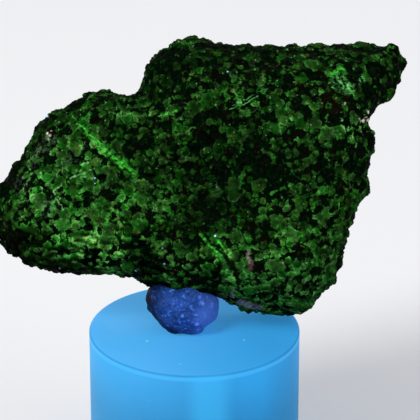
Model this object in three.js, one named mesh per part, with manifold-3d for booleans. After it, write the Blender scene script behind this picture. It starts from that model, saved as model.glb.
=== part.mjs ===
// A willemite and franklinite ore specimen on its display stand. A broken, granular slab of ore leans
// back on a round plastic block, with one corner on the block and a lump of putty under its middle.
// Millimetres, +Z up. The origin is the centre of the block's foot, and the slab's face looks along -Y.

import * as THREE from "three";
import { ConvexHull } from "three/addons/math/ConvexHull.js";
import { ImprovedNoise } from "three/addons/math/ImprovedNoise.js";
import { mergeVertices } from "three/addons/utils/BufferGeometryUtils.js";
import Module from "manifold-3d";

const wasm = await Module();
wasm.setup();

// Driving dimensions
const STAND = { diameter: 50, height: 40, chamfer: 0.5, sides: 96 };
const SLAB = { front: 13, back: 16, squareness: 3.6, lean: 24, right: 2.5, behind: 9.4 };
const RIM = { top: -4, bottom: -13 }; // how far behind the slab's middle it is widest
const COARSE_GRAIN = { radius: 2.7, rise: 0.5, flat: 0.5, tilt: 0.22, tries: 14000, skipped: 0.35 };
const FINE_GRAIN = { radius: 1.9, rise: 0.7, tries: 26000, skipped: 0 };
const GROOVE = 0.35; // how deep the joints between grains are
const CROWDING = 0.95; // how near two grains may be, as a share of their radii together
const PUTTY = { width: 17.6, depth: 16.6, height: 15, middle: 5.7, right: -3.4, behind: 2.2 };
const CLEARANCE = 0.3; // kept between pieces that rest or press on each other
const SEED = { scatter: 11, tops: 12 };

// The slab's outline seen square to its face, from its left tip round by the top, as [right, up].
const OUTLINE = [
  [-52.2, -8.0], [-51.4, -3.3], [-49.0, 0.4], [-44.4, 5.0], [-43.9, 7.9], [-41.4, 10.2],
  [-40.5, 14.6], [-36.0, 17.9], [-32.1, 16.9], [-29.4, 22.3], [-23.2, 21.8], [-15.3, 19.2],
  [-13.6, 21.4], [-15.0, 28.6], [-11.0, 31.2], [-3.1, 35.9], [2.1, 34.4], [5.7, 32.7],
  [22.6, 32.9], [46.8, 34.0], [50.6, 31.3], [48.9, 25.6], [45.1, 19.4], [35.4, 14.2],
  [42.2, 10.4], [37.9, 1.4], [40.5, -2.1], [36.9, -3.8], [34.2, -12.4], [33.5, -17.8],
  [31.1, -24.4], [27.4, -27.5], [25.6, -31.4], [21.7, -31.9], [16.4, -31.9], [13.5, -30.6],
  [10.2, -31.6], [4.0, -27.8], [-0.2, -26.8], [-13.8, -25.0], [-18.8, -22.3], [-34.9, -21.9],
  [-43.9, -19.4], [-49.6, -14.4],
];

// Flat breaks that cut the slab, each through a point and facing outwards, as [right, up, forward].
const BREAKS = [
  { through: [-30, 0, 10.5], facing: [-0.22, 0.06, 1] },
  { through: [25, 20, 11.5], facing: [0.15, 0.22, 1] },
  { through: [18, -18, 11.5], facing: [0.2, -0.16, 1] },
  { through: [10, 30, 6], facing: [0.05, 1, 0.8] },
  { through: [-30, -20, 5], facing: [-0.25, -1, 0.75] },
  { through: [-5, -25, 5], facing: [-0.1, -1, 0.6] },
  { through: [38, 0, 6], facing: [1, -0.15, 0.9] },
  { through: [-47, -4, 4], facing: [-1, 0.3, 0.7] },
  { through: [0, 0, -12], facing: [0.1, 0.1, -1] },
  { through: [25, 10, -12], facing: [0.3, 0.1, -1] },
  { through: [-30, 5, -11], facing: [-0.3, 0.15, -1] },
  { through: [5, 28, -10], facing: [0, 0.7, -1] },
].map(({ through, facing }) => {
  const normal = new THREE.Vector3(...facing).normalize();
  return new THREE.Plane(normal, -normal.dot(new THREE.Vector3(...through)));
});

// A shallow dish in the face, and the broad swells of the whole surface.
const HOLLOW = { x: 3, y: -2, radius: 18, depth: 2.4 };
const SWELLS = [
  { wavelength: 30, height: 2.2 },
  { wavelength: 11, height: 1.6 },
];

// Where fingers flattened the putty ball, as facing and how far out the flat is, then its lumps, crease
// and bulge. Their sizes are shares of the ball's radius.
const DENTS = [
  { facing: [-0.8, -0.35, -0.6], reach: 0.8 },
  { facing: [0.5, -0.85, 0.25], reach: 0.96 },
  { facing: [0.9, 0.35, 0.1], reach: 0.93 },
  { facing: [-0.6, 0.8, 0.2], reach: 0.93 },
].map(({ facing, reach }) => new THREE.Plane(new THREE.Vector3(...facing).normalize(), -reach));
const LUMPS = { wavelength: 0.6, height: 0.14 };
const CREASE = { facing: [0.35, 0.25, 0.9], along: -0.42, width: 0.13, depth: 0.08 };
const BULGE = { facing: [0.7, -0.5, -0.6], width: 0.14, height: 0.14 };

// Random numbers from 0 to 1, the same ones each time.
function randomSource(seed) {
  let state = seed;
  return () => {
    state = (state * 1664525 + 1013904223) % 4294967296;
    return state / 4294967296;
  };
}

const perlin = new ImprovedNoise();

function noise({ x, y, z }, wavelength) {
  return perlin.noise(x / wavelength + 15.1, y / wavelength + 31.7, z / wavelength + 57.3);
}

// Moves a point that is beyond any of the planes back onto them.
function cutBack(point, planes) {
  for (const plane of planes) {
    const beyond = plane.distanceToPoint(point);
    if (beyond > 0) point.addScaledVector(plane.normal, -beyond);
  }
}

// How far the outline is from the slab's middle, in the direction of an angle from its right.
function outlineRadius(angle) {
  const [dx, dy] = [Math.cos(angle), Math.sin(angle)];
  for (let i = 0; i < OUTLINE.length; i++) {
    const [px, py] = OUTLINE[i];
    const [qx, qy] = OUTLINE[(i + 1) % OUTLINE.length];
    const turn = dx * (qy - py) - dy * (qx - px);
    const along = (dy * px - dx * py) / turn;
    const reach = (px * (qy - py) - py * (qx - px)) / turn;
    if (reach > 0 && along >= 0 && along <= 1) return reach;
  }
  throw new Error("the outline doesn't close round the slab's middle");
}

// The slab's section from the middle of its face, over the rim, to the middle of its back. share runs
// along it from 0 to 1, radius is the outline's, and the section is widest at rim. Gives [out, forward].
function sectionPoint(radius, rim, share) {
  const steps = 48;
  const points = [];
  const lengths = [0];
  for (let i = 0; i <= steps; i++) {
    const angle = (Math.PI * i) / steps;
    const [out, forward] = [Math.sin(angle), Math.cos(angle)];
    const thick = forward > 0 ? SLAB.front - rim : SLAB.back + rim;
    const reach =
      ((out / radius) ** SLAB.squareness + (Math.abs(forward) / thick) ** SLAB.squareness) **
      (-1 / SLAB.squareness);
    points.push([reach * out, reach * forward + rim]);
    if (i > 0) {
      const [a, b] = [points[i - 1], points[i]];
      lengths.push(lengths[i - 1] + Math.hypot(b[0] - a[0], b[1] - a[1]));
    }
  }
  const target = share * lengths[steps];
  let i = 1;
  while (i < steps && lengths[i] < target) i++;
  const within = (target - lengths[i - 1]) / (lengths[i] - lengths[i - 1]);
  return [0, 1].map((k) => THREE.MathUtils.lerp(points[i - 1][k], points[i][k], within));
}

// The slab's surface before its grains, from a direction on a ball that stands for it.
function slabPoint(direction) {
  const angle = Math.atan2(direction.y, direction.x);
  const share = Math.acos(THREE.MathUtils.clamp(direction.z, -1, 1)) / Math.PI;
  const rim = THREE.MathUtils.lerp(RIM.top, RIM.bottom, (1 - Math.sin(angle)) / 2);
  const [out, forward] = sectionPoint(outlineRadius(angle) - COARSE_GRAIN.rise, rim, share);
  const point = new THREE.Vector3(out * Math.cos(angle), out * Math.sin(angle), forward);
  const far = Math.hypot(point.x - HOLLOW.x, point.y - HOLLOW.y) / HOLLOW.radius;
  if (far < 1 && point.z > 0) point.z -= HOLLOW.depth * (1 - far * far) ** 2;
  cutBack(point, BREAKS);
  for (const { wavelength, height } of SWELLS) point.z += height * noise(point, wavelength);
  return point;
}

function randomDirection(random) {
  const z = 2 * random() - 1;
  const angle = 2 * Math.PI * random();
  const out = Math.sqrt(1 - z * z);
  return new THREE.Vector3(out * Math.cos(angle), out * Math.sin(angle), z);
}

// Grain middles scattered over the slab: the coarse ones first, then fine ones in the gaps.
function scatterGrains(random) {
  const grains = [];
  for (const kind of [COARSE_GRAIN, FINE_GRAIN]) {
    for (let i = 0; i < kind.tries; i++) {
      const direction = randomDirection(random);
      const point = slabPoint(direction);
      const isNear = (other) =>
        other.point.distanceTo(point) < CROWDING * (other.kind.radius + kind.radius);
      if (random() >= kind.skipped && !grains.some(isNear)) grains.push({ direction, point, kind });
    }
  }
  return grains;
}

// Triples of neighbouring grains, counter-clockwise from outside, from the hull of their directions.
function neighbourTriples(grains) {
  const index = new Map(grains.map((grain, i) => [grain.direction, i]));
  const hull = new ConvexHull().setFromPoints(grains.map((grain) => grain.direction));
  return hull.faces.map((face) => {
    const triple = [];
    let edge = face.edge;
    do {
      triple.push(index.get(edge.head().point));
      edge = edge.next;
    } while (edge !== face.edge);
    return triple;
  });
}

// Swaps the side that two triples share, wherever that makes both of them less drawn out.
function evenOut(triples, grains) {
  const sideKey = (from, to) => from * grains.length + to;
  const owner = new Map();
  const claim = (t) => {
    triples[t].forEach((from, k) => owner.set(sideKey(from, triples[t][(k + 1) % 3]), t));
  };
  const angleAt = (...corners) => {
    const [apex, one, other] = corners.map((i) => grains[i].point);
    return one.clone().sub(apex).angleTo(other.clone().sub(apex));
  };
  triples.forEach((triple, t) => claim(t));
  let swaps = 1;
  while (swaps > 0) {
    swaps = 0;
    for (const [side, t] of [...owner]) {
      if (owner.get(side) !== t) continue;
      const from = Math.floor(side / grains.length);
      const to = side % grains.length;
      const u = owner.get(sideKey(to, from));
      const left = triples[t].find((i) => i !== from && i !== to);
      const right = triples[u].find((i) => i !== from && i !== to);
      const drawnOut = angleAt(left, from, to) + angleAt(right, from, to) > Math.PI + 0.01;
      if (!drawnOut || owner.has(sideKey(left, right))) continue;
      owner.delete(sideKey(from, to));
      owner.delete(sideKey(to, from));
      triples[t] = [from, right, left];
      triples[u] = [right, to, left];
      claim(t);
      claim(u);
      swaps++;
    }
  }
  return triples;
}

// The triples round one grain, in order, as rings of corner numbers.
function ringsOfCorners(grains, triples) {
  const after = grains.map(() => new Map());
  triples.forEach((triple, corner) => {
    for (let k = 0; k < 3; k++) {
      const [grain, from, to] = [triple[k], triple[(k + 1) % 3], triple[(k + 2) % 3]];
      after[grain].set(from, { to, corner });
    }
  });
  return after.map((next) => {
    const ring = [];
    const first = next.keys().next().value;
    let at = first;
    do {
      const step = next.get(at);
      ring.push(step.corner);
      at = step.to;
    } while (at !== first);
    return ring;
  });
}

// The grains, which of them are neighbours, and the corners round each one.
function grainWeb() {
  const grains = scatterGrains(randomSource(SEED.scatter));
  const triples = evenOut(neighbourTriples(grains), grains);
  return { grains, triples, rings: ringsOfCorners(grains, triples) };
}

// The ore as one closed mesh. Coarse grains have flat, tilted tops and fine ones are low points, with
// grooves between them. grow moves the whole surface outwards.
function oreGeometry({ grains, triples, rings }, grow = 0) {
  const random = randomSource(SEED.tops);
  const positions = [];
  const indices = [];
  const addVertex = (point) => positions.push(point.x, point.y, point.z) / 3 - 1;

  const outwards = grains.map(() => new THREE.Vector3());
  const facings = triples.map((triple) => {
    const [a, b, c] = triple.map((i) => grains[i].point);
    const facing = new THREE.Vector3().crossVectors(b.clone().sub(a), c.clone().sub(a));
    triple.forEach((i) => outwards[i].add(facing));
    return facing.normalize();
  });
  outwards.forEach((normal) => normal.normalize());

  const corners = triples.map((triple, t) => {
    const corner = new THREE.Vector3();
    const weights = triple.map((i) => 1 / grains[i].kind.radius);
    const total = weights.reduce((sum, weight) => sum + weight);
    triple.forEach((i, k) => corner.addScaledVector(grains[i].point, weights[k] / total));
    return corner.addScaledVector(facings[t], grow - GROOVE);
  });
  corners.forEach(addVertex);

  grains.forEach(({ point, kind }, i) => {
    const ring = rings[i];
    const next = (k) => (k + 1) % ring.length;
    const ringMiddle = new THREE.Vector3();
    ring.forEach((corner) => ringMiddle.addScaledVector(corners[corner], 1 / ring.length));
    const peak = point.clone().addScaledVector(outwards[i], grow).lerp(ringMiddle, 0.5);
    peak.addScaledVector(outwards[i], kind.rise * (0.5 + random()));
    if (kind === FINE_GRAIN) {
      const tip = addVertex(peak);
      ring.forEach((corner, k) => indices.push(corner, ring[next(k)], tip));
      return;
    }
    const tilt = randomDirection(random).multiplyScalar(kind.tilt);
    const facing = outwards[i].clone().add(tilt).normalize();
    const top = new THREE.Plane().setFromNormalAndCoplanarPoint(facing, peak);
    const inner = ring.map((corner) => {
      const within = corners[corner].clone().lerp(peak, kind.flat);
      return addVertex(top.projectPoint(within, new THREE.Vector3()));
    });
    ring.forEach((corner, k) => {
      indices.push(corner, ring[next(k)], inner[next(k)], corner, inner[next(k)], inner[k]);
      if (k > 0 && k < ring.length - 1) indices.push(inner[0], inner[k], inner[k + 1]);
    });
  });
  return new THREE.BufferGeometry()
    .setAttribute("position", new THREE.Float32BufferAttribute(positions, 3))
    .setIndex(indices);
}

function toSolid(geometry) {
  const merged = mergeVertices(geometry, 1e-4);
  return new wasm.Manifold(
    new wasm.Mesh({
      numProp: 3,
      vertProperties: merged.attributes.position.array,
      triVerts: new Uint32Array(merged.index.array),
    }),
  );
}

function toGeometry(solid) {
  const { vertProperties, triVerts } = solid.getMesh();
  return new THREE.BufferGeometry()
    .setAttribute("position", new THREE.BufferAttribute(vertProperties, 3))
    .setIndex(new THREE.BufferAttribute(triVerts, 1));
}

// A ball rolled by hand, flattened where it sits on the stand, dented, creased and bulging on one side.
function puttyLump() {
  const lump = new THREE.IcosahedronGeometry(1, 12).deleteAttribute("normal").deleteAttribute("uv");
  const halfSize = new THREE.Vector3(PUTTY.width, PUTTY.depth, PUTTY.height).divideScalar(2);
  const creaseFacing = new THREE.Vector3(...CREASE.facing).normalize();
  const bulgeFacing = new THREE.Vector3(...BULGE.facing).normalize();
  const place = lump.attributes.position;
  const point = new THREE.Vector3();
  for (let i = 0; i < place.count; i++) {
    point.fromBufferAttribute(place, i);
    const fromCrease = (point.dot(creaseFacing) - CREASE.along) / CREASE.width;
    const creased = CREASE.depth * Math.exp(-fromCrease * fromCrease);
    const fromBulge = (1 - point.dot(bulgeFacing)) / BULGE.width;
    const bulged = BULGE.height * Math.exp(-fromBulge * fromBulge);
    const swollen = LUMPS.height * noise(point, LUMPS.wavelength) + bulged;
    cutBack(point, DENTS);
    point.multiplyScalar(1 + swollen - creased).multiply(halfSize);
    place.setXYZ(i, point.x, point.y, Math.max(point.z + PUTTY.middle, 0));
  }
  return lump;
}

// The putty, cut by the ore that is pressed into it, in a frame at the middle of its foot.
function puttyGeometry(oreGrown) {
  const pieces = toSolid(puttyLump()).subtract(toSolid(oreGrown)).decompose();
  pieces.sort((a, b) => b.volume() - a.volume());
  return toGeometry(pieces[0]);
}

// The round block, with a small chamfer round its top and its foot.
function standGeometry() {
  const { diameter, height, chamfer, sides } = STAND;
  const radius = diameter / 2;
  const profile = [
    [0, 0],
    [radius - chamfer, 0],
    [radius, chamfer],
    [radius, height - chamfer],
    [radius - chamfer, height],
    [0, height],
  ].map(([x, z]) => new THREE.Vector2(x, z));
  return new THREE.LatheGeometry(profile, sides).rotateX(Math.PI / 2);
}

function piece(name, geometry, finish) {
  const mesh = new THREE.Mesh(geometry, new THREE.MeshStandardMaterial(finish));
  mesh.name = name;
  return mesh;
}

const stand = piece("stand", standGeometry(), { color: 0x4fb2f2, roughness: 0.35 });

// The ore leans back, with its lowest corner on the stand.
const web = grainWeb();
const ore = piece("ore", oreGeometry(web), { color: 0x2c6b25, roughness: 0.6 });
ore.rotation.x = THREE.MathUtils.degToRad(90 - SLAB.lean);
const lowest = new THREE.Box3().setFromObject(ore, true).min.z;
ore.position.set(SLAB.right, SLAB.behind, STAND.height + CLEARANCE - lowest);
ore.updateMatrix();

const puttyPlace = new THREE.Vector3(PUTTY.right, PUTTY.behind, STAND.height);
const oreGrown = oreGeometry(web, CLEARANCE).applyMatrix4(ore.matrix);
oreGrown.translate(-puttyPlace.x, -puttyPlace.y, -puttyPlace.z);
const putty = piece("putty", puttyGeometry(oreGrown), { color: 0x24458f, roughness: 0.5 });
putty.position.copy(puttyPlace);

const specimen = new THREE.Group();
specimen.add(ore, putty, stand);

export default specimen;
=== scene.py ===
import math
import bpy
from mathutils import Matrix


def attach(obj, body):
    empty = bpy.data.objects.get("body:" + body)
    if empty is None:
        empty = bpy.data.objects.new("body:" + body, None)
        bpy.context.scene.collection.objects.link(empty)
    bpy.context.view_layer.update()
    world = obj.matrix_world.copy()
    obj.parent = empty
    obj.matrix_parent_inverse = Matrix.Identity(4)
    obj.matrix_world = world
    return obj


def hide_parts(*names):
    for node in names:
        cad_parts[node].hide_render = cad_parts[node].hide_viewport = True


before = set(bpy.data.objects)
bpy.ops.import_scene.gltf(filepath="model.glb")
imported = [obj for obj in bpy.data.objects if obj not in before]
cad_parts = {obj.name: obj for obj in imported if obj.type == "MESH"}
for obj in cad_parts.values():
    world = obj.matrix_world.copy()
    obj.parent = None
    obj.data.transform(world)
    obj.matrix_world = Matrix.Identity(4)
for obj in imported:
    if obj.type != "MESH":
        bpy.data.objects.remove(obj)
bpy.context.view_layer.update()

# Dresses the willemite and franklinite specimen: the granular stone, the putty that props it and
# the milky round stand, in a pale studio. The scene is in metres, and sizes and places that are
# written in millimetres are multiplied by MM.
from types import SimpleNamespace

import bmesh
import bpy
from mathutils import Matrix, Vector

MM = 0.001

# The stone's own frame, as in the CAD: x to the right, y up its face, z out of its face.
STONE_PLACE = (2.5, 9.4, 73.7683)
STONE_LEAN = math.radians(24)
STONE_VOXEL = 0.446
STONE_SMOOTHING = 7

PUTTY_VOXEL = 0.33
PUTTY_SMOOTHING = 6

STAND = {"radius": 25.0, "height": 40.0, "edge": 0.45, "sides": 240}
STONE_OFF_STAND = 0.03
PUTTY_OFF_STAND = 0.02

# How loosely the cells of every grain and fleck lie, from 0, a straight grid, to 1.
CELL_RANDOMNESS = 0.95

CAMERA = {
    "target": (3.705, 6.3, 67.951),
    "elevation": 23.427,
    "distance": 650.0,
    "lens": 236.22,
    "sensor": 36.0,
}


# Nodes

class Field:
    """A node's output that can be used in arithmetic: each sign adds a Math node."""

    def __init__(self, graph, socket):
        self.graph = graph
        self.socket = socket

    def __add__(self, other):
        return self.graph.math("ADD", self, other)

    def __mul__(self, other):
        return self.graph.math("MULTIPLY", self, other)

    def __sub__(self, other):
        return self.graph.math("SUBTRACT", self, other)

    def __rsub__(self, other):
        return self.graph.math("SUBTRACT", other, self)

    def __truediv__(self, other):
        return self.graph.math("DIVIDE", self, other)

    __radd__ = __add__


class Graph:
    """Adds nodes to a shader tree or a geometry tree."""

    def __init__(self, tree):
        self.tree = tree

    def feed(self, socket, value):
        if isinstance(value, Field):
            self.tree.links.new(value.socket, socket)
        elif socket.type == "RGBA" and len(value) == 3:
            socket.default_value = (*value, 1.0)
        else:
            socket.default_value = value

    def node(self, kind, inputs=(), **settings):
        node = self.tree.nodes.new(kind)
        for name, value in settings.items():
            setattr(node, name, value)
        for key, value in dict(inputs).items():
            self.feed(node.inputs[key], value)
        return node

    def field(self, node, output=0):
        return Field(self, node.outputs[output])

    def attribute(self, name, output):
        return self.field(self.node("ShaderNodeAttribute", attribute_name=name), output)

    def math(self, operation, *values):
        return self.field(self.node("ShaderNodeMath", enumerate(values), operation=operation))

    def least(self, a, b):
        return self.math("MINIMUM", a, b)

    def most(self, a, b):
        return self.math("MAXIMUM", a, b)

    def more(self, a, b):
        """1 where a is more than b, and 0 elsewhere."""
        return self.math("GREATER_THAN", a, b)

    def less(self, a, b):
        """1 where a is less than b, and 0 elsewhere."""
        return self.math("LESS_THAN", a, b)

    def absolute(self, value):
        return self.math("ABSOLUTE", value)

    def vector(self, operation, *values, output=0):
        node = self.node("ShaderNodeVectorMath", enumerate(values), operation=operation)
        return self.field(node, output)

    def distance(self, a, b):
        return self.vector("DISTANCE", a, b, output=1)

    def length(self, vector):
        return self.vector("LENGTH", vector, output=1)

    def scaled(self, vector, factor):
        node = self.node("ShaderNodeVectorMath", {"Vector": vector, "Scale": factor}, operation="SCALE")
        return self.field(node)

    def parts(self, vector):
        node = self.node("ShaderNodeSeparateXYZ", {0: vector})
        return tuple(self.field(node, i) for i in range(3))

    def joined(self, x, y, z):
        return self.field(self.node("ShaderNodeCombineXYZ", {0: x, 1: y, 2: z}))

    def ramp(self, value, start, end, low=0.0, high=1.0):
        """A soft step from low to high. It stays between them without the node's own clamp, which
        would make the renderer keep too many values at once."""
        inputs = {"Value": value, "From Min": start, "From Max": end, "To Min": low, "To Max": high}
        node = self.node("ShaderNodeMapRange", inputs, interpolation_type="SMOOTHSTEP", clamp=False)
        return self.field(node)

    def share(self, value, start, end):
        """How far value is from start to end, from 0 to 1."""
        return self.least(self.most((value - start) * (1.0 / (end - start)), 0.0), 1.0)

    def mix(self, share, a, b):
        node = self.node("ShaderNodeMix", {0: share, 2: a, 3: b}, data_type="FLOAT")
        return self.field(node, 0)

    def mix_vector(self, share, a, b):
        node = self.node("ShaderNodeMix", {0: share, 4: a, 5: b}, data_type="VECTOR")
        return self.field(node, 1)

    def tint(self, share, a, b):
        """The colour a, turned to b by a share from 0 to 1."""
        node = self.node("ShaderNodeMix", {0: share, 6: a, 7: b}, data_type="RGBA")
        return self.field(node, 2)

    def noise(self, place, scale, detail=2.0, rough=0.5, color=False):
        inputs = {"Vector": place, "Scale": scale, "Detail": detail, "Roughness": rough}
        return self.field(self.node("ShaderNodeTexNoise", inputs), 1 if color else 0)

    def patches(self, place, scale, detail=2.0, rough=0.5, low=0.36, high=0.64):
        """Noise that fills the range from 0 to 1."""
        return self.share(self.noise(place, scale, detail, rough), low, high)

    def wander(self, place, scale, detail=2.0, rough=0.5):
        """Three offsets around 0, for a place that wanders."""
        noise = self.noise(place, scale, detail, rough, color=True)
        return self.vector("SUBTRACT", noise, (0.5, 0.5, 0.5))

    def cells(self, place, size):
        """The nearest cell of a loose grid: its random colour, the distance to its middle, and
        the middle itself."""
        inputs = {"Vector": place, "Scale": 1 / size, "Randomness": CELL_RANDOMNESS}
        cell = self.node("ShaderNodeTexVoronoi", inputs, feature="F1")
        away = self.field(cell, "Distance") * size
        return self.field(cell, "Color"), away, self.field(cell, "Position")

    def cell_edge(self, place, size):
        """The distance to the nearest border between two cells."""
        inputs = {"Vector": place, "Scale": 1 / size, "Randomness": CELL_RANDOMNESS}
        edge = self.node("ShaderNodeTexVoronoi", inputs, feature="DISTANCE_TO_EDGE")
        return self.field(edge, "Distance") * size


# Spots, lines and dots on the stone's face

# Each one fades from its full strength to nothing between two shares of its size.
SPOT_FADE = (0.55, 1.35)
LINE_FADE = (0.35, 1.5)
DOT_FADE = (0.5, 1.15)
DOT_DEPTH = 0.3


def faded(g, away, size, fade, strength):
    return g.ramp(away, size * fade[0], size * fade[1], strength, 0.0)


def spots(g, x, y, areas):
    """The sum of soft round spots on the stone's face."""
    total = 0.0
    here = g.joined(x, y, 0.0)
    for spot_x, spot_y, radius, amount in areas:
        away = g.distance(here, (spot_x, spot_y, 0.0))
        total = faded(g, away, radius, SPOT_FADE, amount) + total
    return total


def line_glow(g, x, y, lines):
    """The brightest of several lines on the stone's face."""
    glow = 0.0
    here = g.joined(x, y, 0.0)
    for x0, y0, x1, y1, width, strength in lines:
        along = Vector((x1 - x0, y1 - y0, 0.0))
        way = g.vector("SUBTRACT", here, (x0, y0, 0.0))
        share = g.vector("DOT_PRODUCT", way, tuple(along / along.length_squared), output=1)
        share = g.least(g.most(share, 0.0), 1.0)
        away = g.length(g.vector("SUBTRACT", way, g.scaled(tuple(along), share)))
        glow = g.most(faded(g, away, width, LINE_FADE, strength), glow)
    return glow


def dots(g, x, y, z, areas):
    """The strongest of several small dots on the stone's skin, which reach further in than across."""
    strongest = 0.0
    here = g.joined(x, y, z * DOT_DEPTH)
    for dot_x, dot_y, dot_z, radius, amount in areas:
        away = g.distance(here, (dot_x, dot_y, dot_z * DOT_DEPTH))
        strongest = g.most(faded(g, away, radius, DOT_FADE, amount), strongest)
    return strongest


# The stone's grains

# The same fields shape the skin and colour it. A layer of grains fills the cells of a loose grid,
# each with a round grain whose radius is a share of the cell's size. The green grains come in two
# layers, and a third holds the black ones.
COARSE = {"cell": 3.1, "radius": 0.42, "spread": 0.30}
FINE = {"cell": 1.85, "radius": 0.44, "spread": 0.34}
BLACK = {"cell": 2.1, "radius": 0.38, "spread": 0.30}
BLACK_SHIFT = (31.7, 12.9, 5.3)

# How far the grid is bent, in long waves and in short ones, so that the grains are irregular.
LONG_BEND = 1.9
SHORT_BEND = 0.78

# The shares of cells that hold a coarse grain, no fine one and a black one, and how deep the
# grains that are left out are sunk.
COARSE_SHARE = 0.22
FINE_GAP_SHARE = 0.30
BLACK_SHARE = 0.29
ABSENT = 9.0

# The front's own areas of coarse and of black grains come in over this stretch of z.
GRAIN_FRONT = (-11.0, -5.0)

# The skin's relief, in millimetres: a green grain's height, the crease between two grains, the
# steps from grain to grain, the roughness all over, and how far all of it is sunk to make up.
RELIEF = {"dome": 0.42, "crease": 0.12, "step": 0.25, "rough": 0.6, "sunk": 0.20}

COARSE_AREAS = [
    # x, y, radius, share of coarse grains
    (-29, -1, 24, 0.42),
    (24, -14, 17, 0.18),
    (34, 22, 13, 0.18),
]
DARK_AREAS = [
    # x, y, radius, how many more of the grains are black
    (-29.0, -2.0, 20.0, -0.10),
    (20.0, -20.0, 13.0, -0.08),
    (24.0, -14.0, 8.0, -0.10),
    (18.0, -5.0, 8.0, -0.12),
    (11.5, -4.5, 5.0, -0.22),
    (4.0, -16.0, 5.0, -0.20),
    (20.0, 17.0, 5.0, -0.16),
    (9.0, 14.0, 5.0, -0.20),
    (3.0, 22.5, 5.0, -0.18),
    (20.0, 26.0, 4.5, -0.20),
    (-4.0, 15.0, 4.5, -0.18),
    (-25.0, 5.0, 3.5, -0.15),
    (-12.0, 15.5, 5.0, -0.12),
    (-40.5, -10.0, 4.0, -0.14),
    (-28.5, -15.5, 4.0, -0.18),
    (-21.0, -15.0, 5.0, -0.16),
    (-8.5, -5.0, 4.5, -0.18),
    (30.0, -8.0, 4.0, -0.14),
    (30.0, 4.5, 3.5, -0.18),
    (27.0, -20.0, 5.0, -0.10),
    (12.0, -26.0, 5.0, -0.14),
    (33.0, 30.0, 6.0, -0.07),
    (8.0, 3.0, 11.0, 0.07),
    (0.0, 10.0, 3.6, 0.14),
    (35.5, 5.0, 3.5, 0.28),
    (-5.5, 20.0, 3.2, 0.20),
    (17.0, 30.5, 5.0, 0.14),
    (15.0, 0.2, 5.3, 0.36),
    (3.5, -5.0, 3.5, -0.12),
    (4.5, 6.0, 3.0, -0.12),
    (25.0, 5.0, 3.5, 0.32),
    (1.5, 2.5, 4.0, 0.12),
    (14.2, -10.0, 4.2, 0.40),
    (29.0, 19.0, 3.5, 0.16),
    (34.8, 24.6, 2.4, 0.55),
    (38.6, 20.4, 3.0, 0.40),
    (37.1, 24.2, 1.6, -0.50),
    (35.5, 30.5, 3.0, -0.14),
    (31.4, 23.4, 3.2, -0.50),
    (33.6, 21.4, 1.8, -0.35),
    (45.0, 25.0, 4.0, 0.32),
    (5.0, 31.0, 6.5, 0.22),
    (-14.0, -18.0, 4.0, 0.16),
    (-9.5, 29.5, 5.0, 0.24),
    (-16.0, 10.0, 3.2, 0.18),
    (-20.0, 7.5, 3.5, 0.14),
    (-24.0, -0.5, 3.2, 0.20),
    (-35.0, -7.0, 2.6, 0.30),
    (-46.5, -13.0, 5.0, 0.30),
    (-29.0, -23.0, 5.0, 0.26),
    (-26.0, -20.5, 5.0, 0.15),
    (-46.0, 0.5, 3.9, 0.60),
    (-37.5, 12.0, 5.0, 0.13),
    (-41.5, 5.0, 3.0, 0.14),
]


def grain_layer(g, place, layer):
    """A layer's random values, the distance to the cell's border, and how far a place lies inside
    the round outline of its grain."""
    color, away, middle = g.cells(place, layer["cell"])
    chance, shade = g.parts(color)[:2]
    edge = g.cell_edge(place, layer["cell"])
    inside = (layer["radius"] + shade * layer["spread"]) * layer["cell"] - away
    return SimpleNamespace(color=color, middle=middle, chance=chance, edge=edge, inside=inside)


def stone_grains(g, place):
    """The rounded willemite grains at a place in the stone, in millimetres in its own frame: how
    deep the place lies in its grain, the distance to the next cell, and random values."""
    long_waves = g.wander(place, 0.5)
    short_waves = g.wander(place, 1.5, 2.0, 0.6)
    bent = g.vector("ADD", place, g.scaled(long_waves, LONG_BEND))
    bent = g.vector("ADD", bent, g.scaled(short_waves, SHORT_BEND))
    coarse = grain_layer(g, bent, COARSE)
    fine = grain_layer(g, bent, FINE)

    x, y, z = g.parts(fine.middle)
    front = g.ramp(z, *GRAIN_FRONT)
    clusters = (g.noise(fine.middle, 0.16, 1.0) - 0.5) * (0.9 - front * 0.45)
    dark = clusters + front * spots(g, x, y, DARK_AREAS)
    share = COARSE_SHARE + front * spots(g, x, y, COARSE_AREAS) - dark
    gap = g.patches(place, 0.55) * 0.20 - 0.10
    coarse_deep = g.least(coarse.inside, coarse.edge - gap)
    coarse_deep = coarse_deep - g.more(coarse.chance, share) * ABSENT
    fine_deep = g.least(fine.inside, fine.edge - gap)
    fine_deep = fine_deep - g.less(fine.chance, FINE_GAP_SHARE + dark) * ABSENT
    is_coarse = g.more(coarse_deep, fine_deep)
    edge = g.mix(is_coarse, fine.edge, coarse.edge)
    random_color = g.mix_vector(is_coarse, fine.color, coarse.color)

    # Small black grains bite into the green ones.
    black = grain_layer(g, g.vector("ADD", bent, BLACK_SHIFT), BLACK)
    bite = g.least(black.inside, black.edge) - g.more(black.chance, BLACK_SHARE + dark) * ABSENT
    deep = g.least(g.most(coarse_deep, fine_deep), 0.12 - bite)
    chance, shade, hue = g.parts(random_color)
    return SimpleNamespace(deep=deep, edge=edge, chance=chance, shade=shade, hue=hue)


def stone_height(g, place):
    """How far the skin stands out, in millimetres: rounded green grains over sunken black ones."""
    grains = stone_grains(g, place)
    step = (grains.chance - 0.5) * RELIEF["step"]
    dome = g.ramp(grains.deep, -0.35, 0.75) * RELIEF["dome"]
    crease = g.ramp(grains.edge, 0.0, 0.4) * RELIEF["crease"]
    rough = (g.noise(place, 0.9) - 0.5) * RELIEF["rough"]
    return step + dome + crease + rough - RELIEF["sunk"]


# Meshes

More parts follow.
